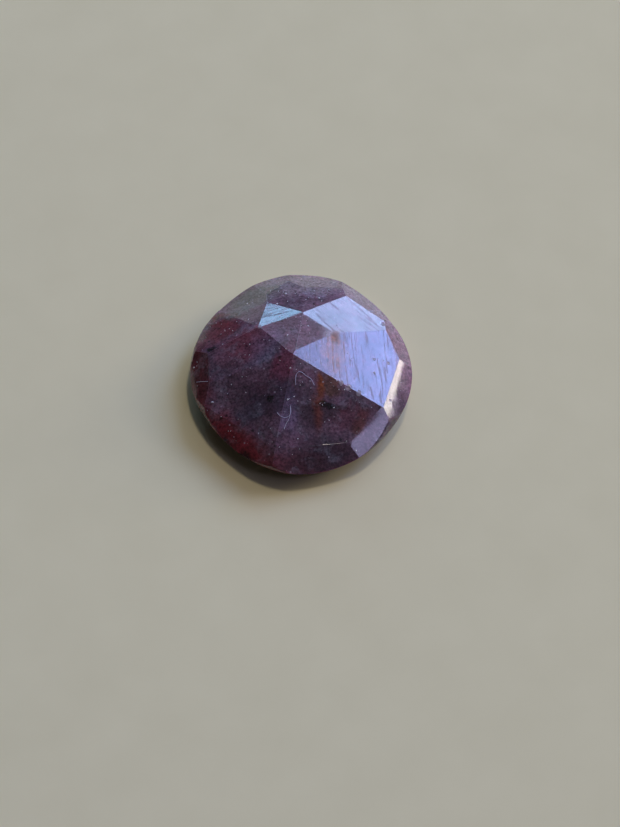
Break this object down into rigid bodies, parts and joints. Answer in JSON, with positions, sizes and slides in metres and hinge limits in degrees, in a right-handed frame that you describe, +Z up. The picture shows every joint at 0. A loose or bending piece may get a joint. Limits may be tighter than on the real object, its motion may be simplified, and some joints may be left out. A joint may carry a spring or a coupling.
{
  "type": "rose-cut sapphire",
  "caption": "Oval rose-cut sapphire, plum and silky: a low faceted dome over a thin girdle, with a ground bevel and a flat polished base.",
  "frame": {"origin": "centre of the flat base's underside, below the middle of the stone's outline", "axes": "+Z up through the dome, +X across the stone's shorter way in plan to the picture's right, +Y along its longer way, away from the picture's viewer"},
  "size_m": [0.011, 0.012, 0.0034],
  "materials": {
    "plum_corundum": "polished facets with fine polishing lines, translucent and silky inside, plum with red edges and rust stains"
  },
  "bodies": {
    "root": {"sapphire": "plum_corundum"}
  },
  "joints": []
}
